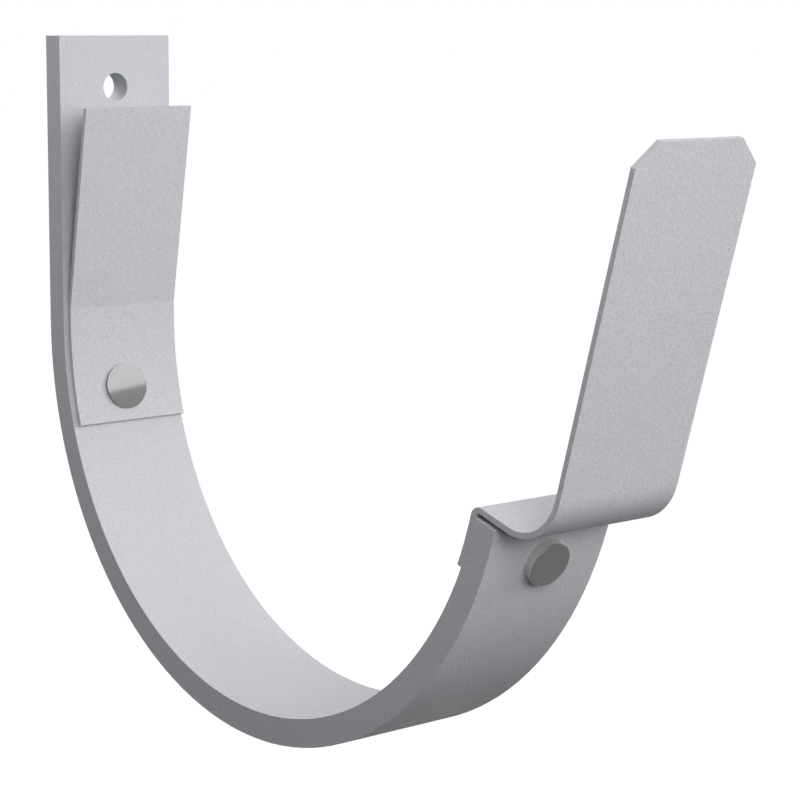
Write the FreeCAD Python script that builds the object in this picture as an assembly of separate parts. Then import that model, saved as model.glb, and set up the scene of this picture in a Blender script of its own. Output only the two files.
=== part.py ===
import FreeCAD, Part
import math
import os

# Gutter bracket: a flat bar bent to a half ring, a spring clip at its back, a fold-down
# strap at its front end, and a rivet through each clip. Millimetres and degrees.
# +X runs across the bar, the wall is the plane y = 0 and the gutter hangs on the -Y side.
# The origin is the screw hole's centre, on the wall.

# Bar
BAR_WIDTH = 25.0
BAR_THICKNESS = 5.0
RING_RADIUS = 62.8
UPRIGHT_HEIGHT = 55.8
HOOK_END_ANGLE = 163.6
SCREW_HOLE_DIAMETER = 5.5
SCREW_HOLE_FROM_TOP = 10.0

# Rear clip, whose free end is flared away from the bar; it is flush with the bar's +X side
REAR_CLIP_THICKNESS = 1.0
REAR_CLIP_INSET = 1.0
REAR_CLIP_RISE = 2.7
REAR_BEND_RADIUS = 1.0
FLARE_ANGLE = 10.0
FLARE_LENGTH = 39.7
REAR_LEG_PAST_RIVET = 6.9

# Front strap, as wide as the bar: it caps the hook's end, dips for the gutter's bead and
# stands up as a flange
STRAP_THICKNESS = 1.0
HOOK_END_GAP = 1.0
BEAD_BEND_RADIUS = 8.5
FLANGE_STAND_OFF = 11.0
FLANGE_HEIGHT = 67.2
FLANGE_CORNER = 4.0
STRAP_LEG_MARGIN = 0.3

# Rivets, each placed by its distance along the ring's inner face
SHANK_DIAMETER = 4.0
REAR_RIVET_FROM_LEVEL = 13.5
REAR_HEAD_DIAMETER = 9.05
REAR_HEAD_HEIGHT = 0.5
REAR_SINK_DEPTH = 1.5
FRONT_RIVET_FROM_END = 6.6
FRONT_HEAD_DIAMETER = 8.0
FRONT_HEAD_HEIGHT = 1.7
FRONT_HEAD_EDGE = 0.3
FRONT_SINK_DEPTH = 0.3

# Cutting tools run this far past the faces they cut
OVERCUT = 2.0

# The ring's centre, and its outer face
RING_Y = -(RING_RADIUS + BAR_THICKNESS)
RING_Z = SCREW_HOLE_FROM_TOP - UPRIGHT_HEIGHT
OUTER_RADIUS = RING_RADIUS + BAR_THICKNESS


def ring_angle(length):
    """Angle that a length along the ring's inner face spans."""
    return math.degrees(length / RING_RADIUS)


# Stations round the ring: 0 is level with its centre at the wall, 90 its lowest point
REAR_RIVET_ANGLE = ring_angle(REAR_RIVET_FROM_LEVEL)
REAR_LEG_ANGLE = ring_angle(REAR_RIVET_FROM_LEVEL + REAR_LEG_PAST_RIVET)
FRONT_RIVET_ANGLE = HOOK_END_ANGLE - ring_angle(FRONT_RIVET_FROM_END)
STRAP_LEG_PAST_RIVET = SHANK_DIAMETER / 2 + FRONT_SINK_DEPTH + STRAP_LEG_MARGIN
STRAP_LEG_LENGTH = FRONT_RIVET_FROM_END + STRAP_LEG_PAST_RIVET


def ring_point(radius, angle):
    """Point of the side view at a radius and a station round the ring."""
    turn = math.radians(angle)
    return FreeCAD.Vector(0, RING_Y + radius * math.cos(turn), RING_Z - radius * math.sin(turn))


def extrude_side_view(edges, inset=0.0):
    """Solid of a closed side view, across the bar's width less an inset at its -X side."""
    face = Part.Face(Part.Wire(edges))
    face.translate(FreeCAD.Vector(inset - BAR_WIDTH / 2, 0, 0))
    return face.extrude(FreeCAD.Vector(BAR_WIDTH - inset, 0, 0))


def run(length):
    """A straight stretch of a strip."""
    return ("run", length, 0.0)


def bend(radius, turn):
    """A bend of a strip: the radius of its datum face, and the turn, positive to the left."""
    return ("bend", radius, turn)


def heading_vector(heading):
    """Unit vector of the side view: heading 0 is +Y and 90 is straight up."""
    turn = math.radians(heading)
    return FreeCAD.Vector(0, math.cos(turn), math.sin(turn))


def strip_edges(start, heading, moves, offset):
    """Closed side view of a bent strip, and the middle of its far end.

    The moves follow the datum face from its start. The strip's other face lies
    at the offset from it, to the left where the offset is positive.
    """
    datum = []
    other = []
    here = start
    for kind, size, turn in moves:
        left = heading_vector(heading + 90)
        if kind == "run":
            there = here + heading_vector(heading) * size
            datum.append(Part.LineSegment(here, there).toShape())
            other.append(Part.LineSegment(here + left * offset, there + left * offset).toShape())
        else:
            side = math.copysign(1.0, turn)
            centre = here + left * size * side
            spokes = [heading_vector(heading - side * 90 + turn * part) for part in (0.0, 0.5, 1.0)]
            points = [centre + spoke * size for spoke in spokes]
            facing = [centre + spoke * (size - side * offset) for spoke in spokes]
            datum.append(Part.Arc(*points).toShape())
            other.append(Part.Arc(*facing).toShape())
            there = points[2]
            heading += turn
        here = there
    left = heading_vector(heading + 90)
    start_cap = Part.LineSegment(other[0].Vertexes[0].Point, start).toShape()
    end_cap = Part.LineSegment(here, here + left * offset).toShape()
    return datum + [end_cap] + other[::-1] + [start_cap], here + left * (offset / 2)


def on_ring(shape, angle):
    """Places a shape drawn at the ring's centre, with +Z outwards, at a station of the ring."""
    shape.rotate(FreeCAD.Vector(), FreeCAD.Vector(1, 0, 0), -(90 + angle))
    shape.translate(FreeCAD.Vector(0, RING_Y, RING_Z))
    return shape


def ring_drum(radius):
    """Solid drum round the ring's axis, wider than the bar, drawn at the ring's centre."""
    width = BAR_WIDTH + 2 * OVERCUT
    return Part.makeCylinder(radius, width, FreeCAD.Vector(-width / 2, 0, 0), FreeCAD.Vector(1, 0, 0))


def spindle(diameter, low, high):
    """Upright cylinder between two radii of the ring."""
    return Part.makeCylinder(diameter / 2, high - low, FreeCAD.Vector(0, 0, low))


def rear_shank():
    """Shank of the rear rivet with its sunk closing end, running past both faces."""
    sink = OUTER_RADIUS - REAR_SINK_DEPTH
    wide = SHANK_DIAMETER / 2 + REAR_SINK_DEPTH + OVERCUT
    shank = spindle(SHANK_DIAMETER, RING_RADIUS - REAR_CLIP_THICKNESS - OVERCUT, sink)
    cone = Part.makeCone(SHANK_DIAMETER / 2, wide, REAR_SINK_DEPTH + OVERCUT, FreeCAD.Vector(0, 0, sink))
    return shank.fuse(cone)


def front_shank():
    """Shank of the front rivet with its sunk closing end, running past both faces."""
    face = RING_RADIUS - STRAP_THICKNESS
    sink = face + FRONT_SINK_DEPTH
    wide = SHANK_DIAMETER / 2 + FRONT_SINK_DEPTH + OVERCUT
    shank = spindle(SHANK_DIAMETER, sink, OUTER_RADIUS + OVERCUT)
    foot = FreeCAD.Vector(0, 0, face - OVERCUT)
    cone = Part.makeCone(wide, SHANK_DIAMETER / 2, FRONT_SINK_DEPTH + OVERCUT, foot)
    return shank.fuse(cone)


def hook_bar():
    """Upright and half ring, bent from one flat bar, with its screw hole and rivet holes."""
    top_z = SCREW_HOLE_FROM_TOP
    back_top = FreeCAD.Vector(0, 0, top_z)
    front_top = FreeCAD.Vector(0, -BAR_THICKNESS, top_z)
    middle = HOOK_END_ANGLE / 2
    outer = [ring_point(OUTER_RADIUS, angle) for angle in (0, middle, HOOK_END_ANGLE)]
    inner = [ring_point(RING_RADIUS, angle) for angle in (HOOK_END_ANGLE, middle, 0)]
    edges = [
        Part.LineSegment(back_top, outer[0]).toShape(),
        Part.Arc(*outer).toShape(),
        Part.LineSegment(outer[2], inner[0]).toShape(),
        Part.Arc(*inner).toShape(),
        Part.LineSegment(inner[2], front_top).toShape(),
        Part.LineSegment(front_top, back_top).toShape(),
    ]
    bar = extrude_side_view(edges)
    screw_hole = Part.makeCylinder(
        SCREW_HOLE_DIAMETER / 2,
        BAR_THICKNESS + 2 * OVERCUT,
        FreeCAD.Vector(0, OVERCUT, 0),
        FreeCAD.Vector(0, -1, 0),
    )
    rear_hole = on_ring(rear_shank(), REAR_RIVET_ANGLE)
    front_hole = on_ring(front_shank(), FRONT_RIVET_ANGLE)
    return bar.cut([screw_hole, rear_hole, front_hole])


def rear_clip():
    """Strip that hugs the ring's back, runs up the bar and flares away from it."""
    start = ring_point(RING_RADIUS, REAR_LEG_ANGLE)
    moves = [
        bend(RING_RADIUS, REAR_LEG_ANGLE),
        run(REAR_CLIP_RISE),
        bend(REAR_BEND_RADIUS + REAR_CLIP_THICKNESS, FLARE_ANGLE),
        run(FLARE_LENGTH),
    ]
    edges = strip_edges(start, 90 - REAR_LEG_ANGLE, moves, REAR_CLIP_THICKNESS)[0]
    clip = extrude_side_view(edges, REAR_CLIP_INSET)
    return clip.cut(on_ring(rear_shank(), REAR_RIVET_ANGLE))


def front_strap():
    """Strap folded over the hook's end, dipped for the gutter's bead and raised to a flange."""
    leg_angle = ring_angle(STRAP_LEG_LENGTH)
    start = ring_point(RING_RADIUS, HOOK_END_ANGLE - leg_angle)
    flange_face = BAR_THICKNESS + FLANGE_STAND_OFF
    shelf = flange_face - BEAD_BEND_RADIUS - HOOK_END_GAP
    flange = FLANGE_HEIGHT - HOOK_END_GAP - STRAP_THICKNESS - BEAD_BEND_RADIUS
    moves = [
        bend(RING_RADIUS, -leg_angle),
        bend(HOOK_END_GAP, 90),
        run(shelf),
        bend(BEAD_BEND_RADIUS + STRAP_THICKNESS, -90),
        run(flange),
    ]
    edges, tip = strip_edges(start, 270 - HOOK_END_ANGLE + leg_angle, moves, -STRAP_THICKNESS)
    strap = extrude_side_view(edges)
    corner_points = [tip + FreeCAD.Vector(side * BAR_WIDTH / 2, 0, 0) for side in (-1, 1)]
    corners = []
    for point in corner_points:
        corners.append(min(strap.Edges, key=lambda edge: edge.CenterOfMass.distanceToPoint(point)))
    strap = strap.makeChamfer(FLANGE_CORNER, corners)
    return strap.cut(on_ring(front_shank(), FRONT_RIVET_ANGLE))


def rear_rivet():
    """Thin flat head on the rear clip, formed to its curve, and a closing end flush at the wall side."""
    seat = RING_RADIUS - REAR_CLIP_THICKNESS
    head = spindle(REAR_HEAD_DIAMETER, seat - REAR_HEAD_HEIGHT, seat + OVERCUT).common(ring_drum(seat))
    shank = rear_shank().common(ring_drum(OUTER_RADIUS)).cut(ring_drum(seat))
    return on_ring(head.fuse(shank).removeSplitter(), REAR_RIVET_ANGLE)


def front_rivet():
    """Thick flat head on the ring's outer face, formed to its curve, and a closing end flush inside."""
    top = OUTER_RADIUS + FRONT_HEAD_HEIGHT
    head = spindle(FRONT_HEAD_DIAMETER, OUTER_RADIUS - OVERCUT, top)
    rim = [edge for edge in head.Edges if len(edge.Vertexes) == 1 and edge.CenterOfMass.z > top - 0.001]
    head = head.makeFillet(FRONT_HEAD_EDGE, rim).cut(ring_drum(OUTER_RADIUS))
    shank = front_shank().common(ring_drum(OUTER_RADIUS)).cut(ring_drum(RING_RADIUS - STRAP_THICKNESS))
    return on_ring(head.fuse(shank).removeSplitter(), FRONT_RIVET_ANGLE)


PIECES = {
    "hook_bar": hook_bar,
    "rear_clip": rear_clip,
    "front_strap": front_strap,
    "rear_rivet": rear_rivet,
    "front_rivet": front_rivet,
}

os.makedirs("parts", exist_ok=True)
for name, make in PIECES.items():
    solid = make().Solids[0]
    print(name, "volume", round(solid.Volume, 2), "valid", solid.isValid())
    solid.exportStep("parts/" + name + ".step")
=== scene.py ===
import math

import bpy
from mathutils import Matrix, Vector


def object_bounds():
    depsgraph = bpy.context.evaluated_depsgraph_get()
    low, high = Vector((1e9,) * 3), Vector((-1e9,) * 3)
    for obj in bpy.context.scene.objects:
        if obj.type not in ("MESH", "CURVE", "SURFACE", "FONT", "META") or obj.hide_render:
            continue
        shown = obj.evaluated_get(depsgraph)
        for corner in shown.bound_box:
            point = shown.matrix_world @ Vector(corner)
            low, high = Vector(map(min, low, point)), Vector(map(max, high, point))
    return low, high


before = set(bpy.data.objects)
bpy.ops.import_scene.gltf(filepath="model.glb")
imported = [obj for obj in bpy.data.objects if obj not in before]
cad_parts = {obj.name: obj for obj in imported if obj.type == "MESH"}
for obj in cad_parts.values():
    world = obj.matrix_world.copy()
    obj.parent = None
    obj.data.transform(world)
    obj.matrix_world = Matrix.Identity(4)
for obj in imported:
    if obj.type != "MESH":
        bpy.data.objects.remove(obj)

# Gutter bracket: a zinc-coated flat bar, two zinc-coated strips and two steel rivets.
# Metres throughout, in the part's own frame: the wall is y = 0 and +Z is up.

# Camera, level with the screw hole and to the left of the bracket's front
CAMERA_PLACE = (-0.2447, -0.3967, 0.0131)
CAMERA_HEADING = 38.95
CAMERA_PITCH = -7.34
CAMERA_ROLL = 0.15
CAMERA_LENS = 104.7
CAMERA_SENSOR = 36.0
CAMERA_SHIFT_UP = -0.10

# Soft square lamps round the bracket: place, side and power
SQUARE_LAMPS = {
    "left_lamp": ((-0.20, -0.50, 0.15), 0.25, 1.24),
    "front_lamp": ((0.05, -0.60, 0.05), 0.25, 0.52),
    "right_lamp": ((0.365, -0.228, 0.08), 0.25, 1.2),
    "corner_lamp": ((-0.20, 0.05, 0.25), 0.25, 0.48),
    "wall_lamp": ((0.0, 0.35, 0.27), 0.30, 1.25),
}
LAMPS_AIM = (0.0, -0.02, -0.02)

# Soft disc far away, mirrored by the upper half of the rear rivet's head
FAR_HEADING = 33.0
FAR_ELEVATION = 31.92
FAR_SPREAD = 40.0
FAR_STRENGTH = 0.55

# Floor below the bracket: its tone as seen, its tone as it lights, and its glow from middle out
FLOOR_DROP = 0.15
FLOOR_SIZE = 12.0
FLOOR_SEEN = 0.9
FLOOR_BOUNCE = 0.03
FLOOR_GLOW = (0.19, 0.94)
FLOOR_GLOW_REACH = 0.72

# Noise: detail of the grain and of the cloud, and which of its values spread from 0 to 1
GRAIN_DETAIL = 1.0
CLOUD_DETAIL = 2.0
NOISE_RANGE = (0.25, 0.75)

# Finishes: tones of the grain and of the cloud over it, roughness from clear to clouded
BAR_ZINC = {
    "dark": (0.556, 0.566, 0.596),
    "light": (0.644, 0.654, 0.69),
    "cloud": (0.58, 0.59, 0.625),
    "cloud_share": 0.3,
    "metal": 0.0,
    "reflection": 0.15,
    "roughness": (0.56, 0.64),
    "grain_size": 0.00045,
    "grain_depth": 0.00005,
    "cloud_size": 0.014,
}
STRIP_ZINC = {
    **BAR_ZINC,
    "dark": (0.54, 0.55, 0.58),
    "light": (0.66, 0.67, 0.706),
    "cloud_size": 0.009,
}
REAR_STEEL = {
    "dark": (0.205, 0.205, 0.203),
    "light": (0.235, 0.235, 0.233),
    "cloud": (0.21, 0.21, 0.208),
    "cloud_share": 0.3,
    "metal": 1.0,
    "reflection": 0.5,
    "roughness": (0.02, 0.028),
    "grain_size": 0.0003,
    "grain_depth": 0.00000005,
    "cloud_size": 0.004,
}
# Front rivet: the rear rivet's steel with its tone darkened, a painted shade that stands in for
# the darker reflection on its face
FRONT_STEEL_PAINTED_SHADE = {
    **REAR_STEEL,
    "dark": (0.094, 0.094, 0.093),
    "light": (0.102, 0.102, 0.101),
    "cloud": (0.094, 0.094, 0.093),
    "roughness": (0.4, 0.44),
    "grain_depth": 0.000001,
}

# Rivet heads: how far each face looks up, and the wall's tone, metal and reach over the edge; the
# front wall's light tone is a painted reflection, the rear wall keeps about the steel's own tone
REAR_HEAD_TILT = 12.3
FRONT_HEAD_TILT = -22.4
REAR_RIM = (0.2, 0.2, 0.198)
# Painted reflection: a light tone on the front head's wall, standing in for the bright
# reflections on it
FRONT_RIM_PAINTED_REFLECTION = (0.62, 0.62, 0.614)
RIM_METAL = 0.1
RIM_RANGE = (0.6, 0.05)

cad_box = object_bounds()
bpy.context.scene.view_settings.view_transform = "Standard"


def new_node(tree, kind, **settings):
    """Adds a node with its own settings."""
    node = tree.nodes.new(kind)
    for name, value in settings.items():
        setattr(node, name, value)
    return node


def new_material(name):
    """A material with its Principled shader."""
    material = bpy.data.materials.new(name)
    material.use_nodes = True
    return material, material.node_tree, material.node_tree.nodes["Principled BSDF"]


def noise_group(name, detail, scale):
    """Noise shared by several finishes, with a tone, a height and its own scale."""
    tree = bpy.data.node_groups.new(name, "ShaderNodeTree")
    tree.interface.new_socket("Place", in_out="INPUT", socket_type="NodeSocketVector")
    tree.interface.new_socket(scale, in_out="INPUT", socket_type="NodeSocketFloat")
    tree.interface.new_socket("Tone", in_out="OUTPUT", socket_type="NodeSocketFloat")
    tree.interface.new_socket("Height", in_out="OUTPUT", socket_type="NodeSocketFloat")
    entry = new_node(tree, "NodeGroupInput")
    leave = new_node(tree, "NodeGroupOutput")
    noise = new_node(tree, "ShaderNodeTexNoise")
    noise.inputs["Detail"].default_value = detail
    spread = new_node(tree, "ShaderNodeMapRange")
    spread.inputs["From Min"].default_value = NOISE_RANGE[0]
    spread.inputs["From Max"].default_value = NOISE_RANGE[1]
    tree.links.new(entry.outputs["Place"], noise.inputs["Vector"])
    tree.links.new(entry.outputs[scale], noise.inputs["Scale"])
    tree.links.new(noise.outputs["Fac"], spread.inputs["Value"])
    tree.links.new(spread.outputs["Result"], leave.inputs["Tone"])
    tree.links.new(noise.outputs["Fac"], leave.inputs["Height"])
    return tree


def rim_group():
    """1 on a wall round a direction, 0 on the flat ends that face along it or against it."""
    tree = bpy.data.node_groups.new("turned_rim", "ShaderNodeTree")
    tree.interface.new_socket("Normal", in_out="INPUT", socket_type="NodeSocketVector")
    tree.interface.new_socket("Direction", in_out="INPUT", socket_type="NodeSocketVector")
    tree.interface.new_socket("Rim", in_out="OUTPUT", socket_type="NodeSocketFloat")
    entry = new_node(tree, "NodeGroupInput")
    leave = new_node(tree, "NodeGroupOutput")
    facing = new_node(tree, "ShaderNodeVectorMath", operation="DOT_PRODUCT")
    either_end = new_node(tree, "ShaderNodeMath", operation="ABSOLUTE")
    spread = new_node(tree, "ShaderNodeMapRange")
    spread.inputs["From Min"].default_value = RIM_RANGE[0]
    spread.inputs["From Max"].default_value = RIM_RANGE[1]
    tree.links.new(entry.outputs["Normal"], facing.inputs[0])
    tree.links.new(entry.outputs["Direction"], facing.inputs[1])
    tree.links.new(facing.outputs["Value"], either_end.inputs[0])
    tree.links.new(either_end.outputs[0], spread.inputs["Value"])
    tree.links.new(spread.outputs["Result"], leave.inputs["Rim"])
    return tree


def surface(name, finish):
    """A finish with fine grain in tone and relief, and a soft cloud in tone and roughness."""
    material, tree, shader = new_material(name)
    place = new_node(tree, "ShaderNodeTexCoord").outputs["Object"]
    grain = new_node(tree, "ShaderNodeGroup", node_tree=grain_noise)
    grain.inputs["Grains per metre"].default_value = 1 / finish["grain_size"]
    tree.links.new(place, grain.inputs["Place"])
    cloud = new_node(tree, "ShaderNodeGroup", node_tree=cloud_noise)
    cloud.inputs["Clouds per metre"].default_value = 1 / finish["cloud_size"]
    tree.links.new(place, cloud.inputs["Place"])
    tone = new_node(tree, "ShaderNodeMix", data_type="RGBA")
    tone.inputs["A"].default_value = (*finish["dark"], 1)
    tone.inputs["B"].default_value = (*finish["light"], 1)
    tree.links.new(grain.outputs["Tone"], tone.inputs["Factor"])
    share = new_node(tree, "ShaderNodeMath", operation="MULTIPLY")
    share.inputs[1].default_value = finish["cloud_share"]
    tree.links.new(cloud.outputs["Tone"], share.inputs[0])
    veil = new_node(tree, "ShaderNodeMix", data_type="RGBA")
    veil.inputs["B"].default_value = (*finish["cloud"], 1)
    tree.links.new(share.outputs[0], veil.inputs["Factor"])
    tree.links.new(tone.outputs["Result"], veil.inputs["A"])
    tree.links.new(veil.outputs["Result"], shader.inputs["Base Color"])
    sheen = new_node(tree, "ShaderNodeMapRange")
    sheen.inputs["To Min"].default_value = finish["roughness"][0]
    sheen.inputs["To Max"].default_value = finish["roughness"][1]
    tree.links.new(cloud.outputs["Tone"], sheen.inputs["Value"])
    tree.links.new(sheen.outputs["Result"], shader.inputs["Roughness"])
    bump = new_node(tree, "ShaderNodeBump")
    bump.inputs["Distance"].default_value = finish["grain_depth"]
    tree.links.new(grain.outputs["Height"], bump.inputs["Height"])
    tree.links.new(bump.outputs["Normal"], shader.inputs["Normal"])
    shader.inputs["Metallic"].default_value = finish["metal"]
    shader.inputs["Specular IOR Level"].default_value = finish["reflection"]
    return material


def head_surface(name, finish, tilt, rim_tone_and_painted_reflection):
    """A rivet's finish, with a tone and metal of its own on the wall round the head's face; on
    the front rivet that light wall tone is a painted reflection.
    """
    material = surface(name, finish)
    tree = material.node_tree
    shader = tree.nodes["Principled BSDF"]
    face_tone = shader.inputs["Base Color"].links[0].from_socket
    rim = new_node(tree, "ShaderNodeGroup", node_tree=rim_mask)
    up = math.radians(tilt)
    rim.inputs["Direction"].default_value = (0, -math.cos(up), math.sin(up))
    tree.links.new(new_node(tree, "ShaderNodeTexCoord").outputs["Normal"], rim.inputs["Normal"])
    # Wall tone: about the steel's own tone on the rear rivet, a painted reflection on the front
    # rivet
    tone = new_node(tree, "ShaderNodeMix", data_type="RGBA")
    tone.inputs["B"].default_value = (*rim_tone_and_painted_reflection, 1)
    tree.links.new(rim.outputs["Rim"], tone.inputs["Factor"])
    tree.links.new(face_tone, tone.inputs["A"])
    tree.links.new(tone.outputs["Result"], shader.inputs["Base Color"])
    metal = new_node(tree, "ShaderNodeMapRange")
    metal.inputs["To Min"].default_value = finish["metal"]
    metal.inputs["To Max"].default_value = RIM_METAL
    tree.links.new(rim.outputs["Rim"], metal.inputs["Value"])
    tree.links.new(metal.outputs["Result"], shader.inputs["Metallic"])
    return material


def seen_directly(tree):
    """1 for camera, glossy and transmission rays, 0 for the rest."""
    path = new_node(tree, "ShaderNodeLightPath")
    first_two = new_node(tree, "ShaderNodeMath", operation="MAXIMUM")
    all_three = new_node(tree, "ShaderNodeMath", operation="MAXIMUM")
    tree.links.new(path.outputs["Is Camera Ray"], first_two.inputs[0])
    tree.links.new(path.outputs["Is Glossy Ray"], first_two.inputs[1])
    tree.links.new(first_two.outputs[0], all_three.inputs[0])
    tree.links.new(path.outputs["Is Transmission Ray"], all_three.inputs[1])
    return all_three.outputs[0]


def room():
    """World that is white to the camera and in reflections; the lamps do the rest."""
    world = bpy.data.worlds.new("room")
    world.use_nodes = True
    bpy.context.scene.world = world
    tree = world.node_tree
    backdrop = tree.nodes["Background"]
    backdrop.inputs["Color"].default_value = (1, 1, 1, 1)
    tree.links.new(seen_directly(tree), backdrop.inputs["Strength"])


def floor():
    """Plain pale floor below the bracket."""
    half = FLOOR_SIZE / 2
    mesh = bpy.data.meshes.new("floor")
    corners = [(x, y, 0) for x, y in ((-half, -half), (half, -half), (half, half), (-half, half))]
    mesh.from_pydata(corners, [], [(0, 1, 2, 3)])
    sheet = bpy.data.objects.new("floor", mesh)
    sheet.location.z = cad_box[0].z - FLOOR_DROP
    bpy.context.collection.objects.link(sheet)
    material, tree, shader = new_material("pale_floor")
    seen = seen_directly(tree)
    tone = new_node(tree, "ShaderNodeMix", data_type="RGBA")
    tone.inputs["A"].default_value = (FLOOR_BOUNCE, FLOOR_BOUNCE, FLOOR_BOUNCE, 1)
    tone.inputs["B"].default_value = (FLOOR_SEEN, FLOOR_SEEN, FLOOR_SEEN, 1)
    tree.links.new(seen, tone.inputs["Factor"])
    tree.links.new(tone.outputs["Result"], shader.inputs["Base Color"])
    reach = new_node(tree, "ShaderNodeVectorMath", operation="LENGTH")
    tree.links.new(new_node(tree, "ShaderNodeTexCoord").outputs["Object"], reach.inputs[0])
    level = new_node(tree, "ShaderNodeMapRange", interpolation_type="SMOOTHSTEP")
    level.inputs["From Max"].default_value = FLOOR_GLOW_REACH
    level.inputs["To Min"].default_value = FLOOR_GLOW[0]
    level.inputs["To Max"].default_value = FLOOR_GLOW[1]
    tree.links.new(reach.outputs["Value"], level.inputs["Value"])
    glow = new_node(tree, "ShaderNodeMath", operation="MULTIPLY")
    tree.links.new(level.outputs["Result"], glow.inputs[1])
    tree.links.new(seen, glow.inputs[0])
    tree.links.new(glow.outputs[0], shader.inputs["Emission Strength"])
    shader.inputs["Emission Color"].default_value = (1, 1, 1, 1)
    shader.inputs["Roughness"].default_value = 1.0
    shader.inputs["Specular IOR Level"].default_value = 0.0
    mesh.materials.append(material)


def square_lamp(name, place, side, power):
    """A soft square lamp that faces the bracket, itself out of the camera's sight."""
    data = bpy.data.lights.new(name, "AREA")
    data.size = side
    data.energy = power
    lamp = bpy.data.objects.new(name, data)
    lamp.location = place
    lamp.rotation_mode = "QUATERNION"
    lamp.rotation_quaternion = (Vector(LAMPS_AIM) - Vector(place)).to_track_quat("-Z", "Y")
    lamp.visible_camera = False
    bpy.context.collection.objects.link(lamp)


def far_lamp():
    """A soft lamp far away, seen from the bracket as a disc."""
    heading = math.radians(FAR_HEADING)
    up = math.radians(FAR_ELEVATION)
    level = Vector((math.sin(heading), -math.cos(heading), 0))
    towards = level * math.cos(up) + Vector((0, 0, math.sin(up)))
    data = bpy.data.lights.new("far_lamp", "SUN")
    data.angle = math.radians(FAR_SPREAD)
    data.energy = FAR_STRENGTH
    lamp = bpy.data.objects.new("far_lamp", data)
    lamp.rotation_mode = "QUATERNION"
    lamp.rotation_quaternion = towards.to_track_quat("Z", "Y")
    bpy.context.collection.objects.link(lamp)


def camera():
    """Camera at the photograph's angle."""
    data = bpy.data.cameras.new("camera")
    data.lens = CAMERA_LENS
    data.sensor_width = CAMERA_SENSOR
    data.shift_y = CAMERA_SHIFT_UP
    view = bpy.data.objects.new("camera", data)
    turn = Matrix.Rotation(math.radians(-CAMERA_HEADING), 4, "Z")
    tilt = Matrix.Rotation(math.radians(90 + CAMERA_PITCH), 4, "X")
    roll = Matrix.Rotation(math.radians(CAMERA_ROLL), 4, "Z")
    view.matrix_world = Matrix.Translation(CAMERA_PLACE) @ turn @ tilt @ roll
    bpy.context.collection.objects.link(view)
    bpy.context.scene.camera = view


def dress(node, material):
    """Gives a piece its finish."""
    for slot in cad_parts[node].material_slots:
        slot.material = material


grain_noise = noise_group("fine_grain", GRAIN_DETAIL, "Grains per metre")
cloud_noise = noise_group("soft_cloud", CLOUD_DETAIL, "Clouds per metre")
rim_mask = rim_group()
bar_zinc = surface("bar_zinc", BAR_ZINC)
strip_zinc = surface("strip_zinc", STRIP_ZINC)
rear_rivet_steel = head_surface("rear_rivet_steel", REAR_STEEL, REAR_HEAD_TILT, REAR_RIM)
front_rivet_painted_shade_and_reflection = head_surface("front_rivet_painted_shade_and_reflection", FRONT_STEEL_PAINTED_SHADE, FRONT_HEAD_TILT, FRONT_RIM_PAINTED_REFLECTION)
dress("hook_bar", bar_zinc)
dress("rear_clip", strip_zinc)
dress("front_strap", strip_zinc)
dress("rear_rivet", rear_rivet_steel)
dress("front_rivet", front_rivet_painted_shade_and_reflection)

room()
floor()
for lamp_name, (lamp_place, lamp_side, lamp_power) in SQUARE_LAMPS.items():
    square_lamp(lamp_name, lamp_place, lamp_side, lamp_power)
far_lamp()
camera()
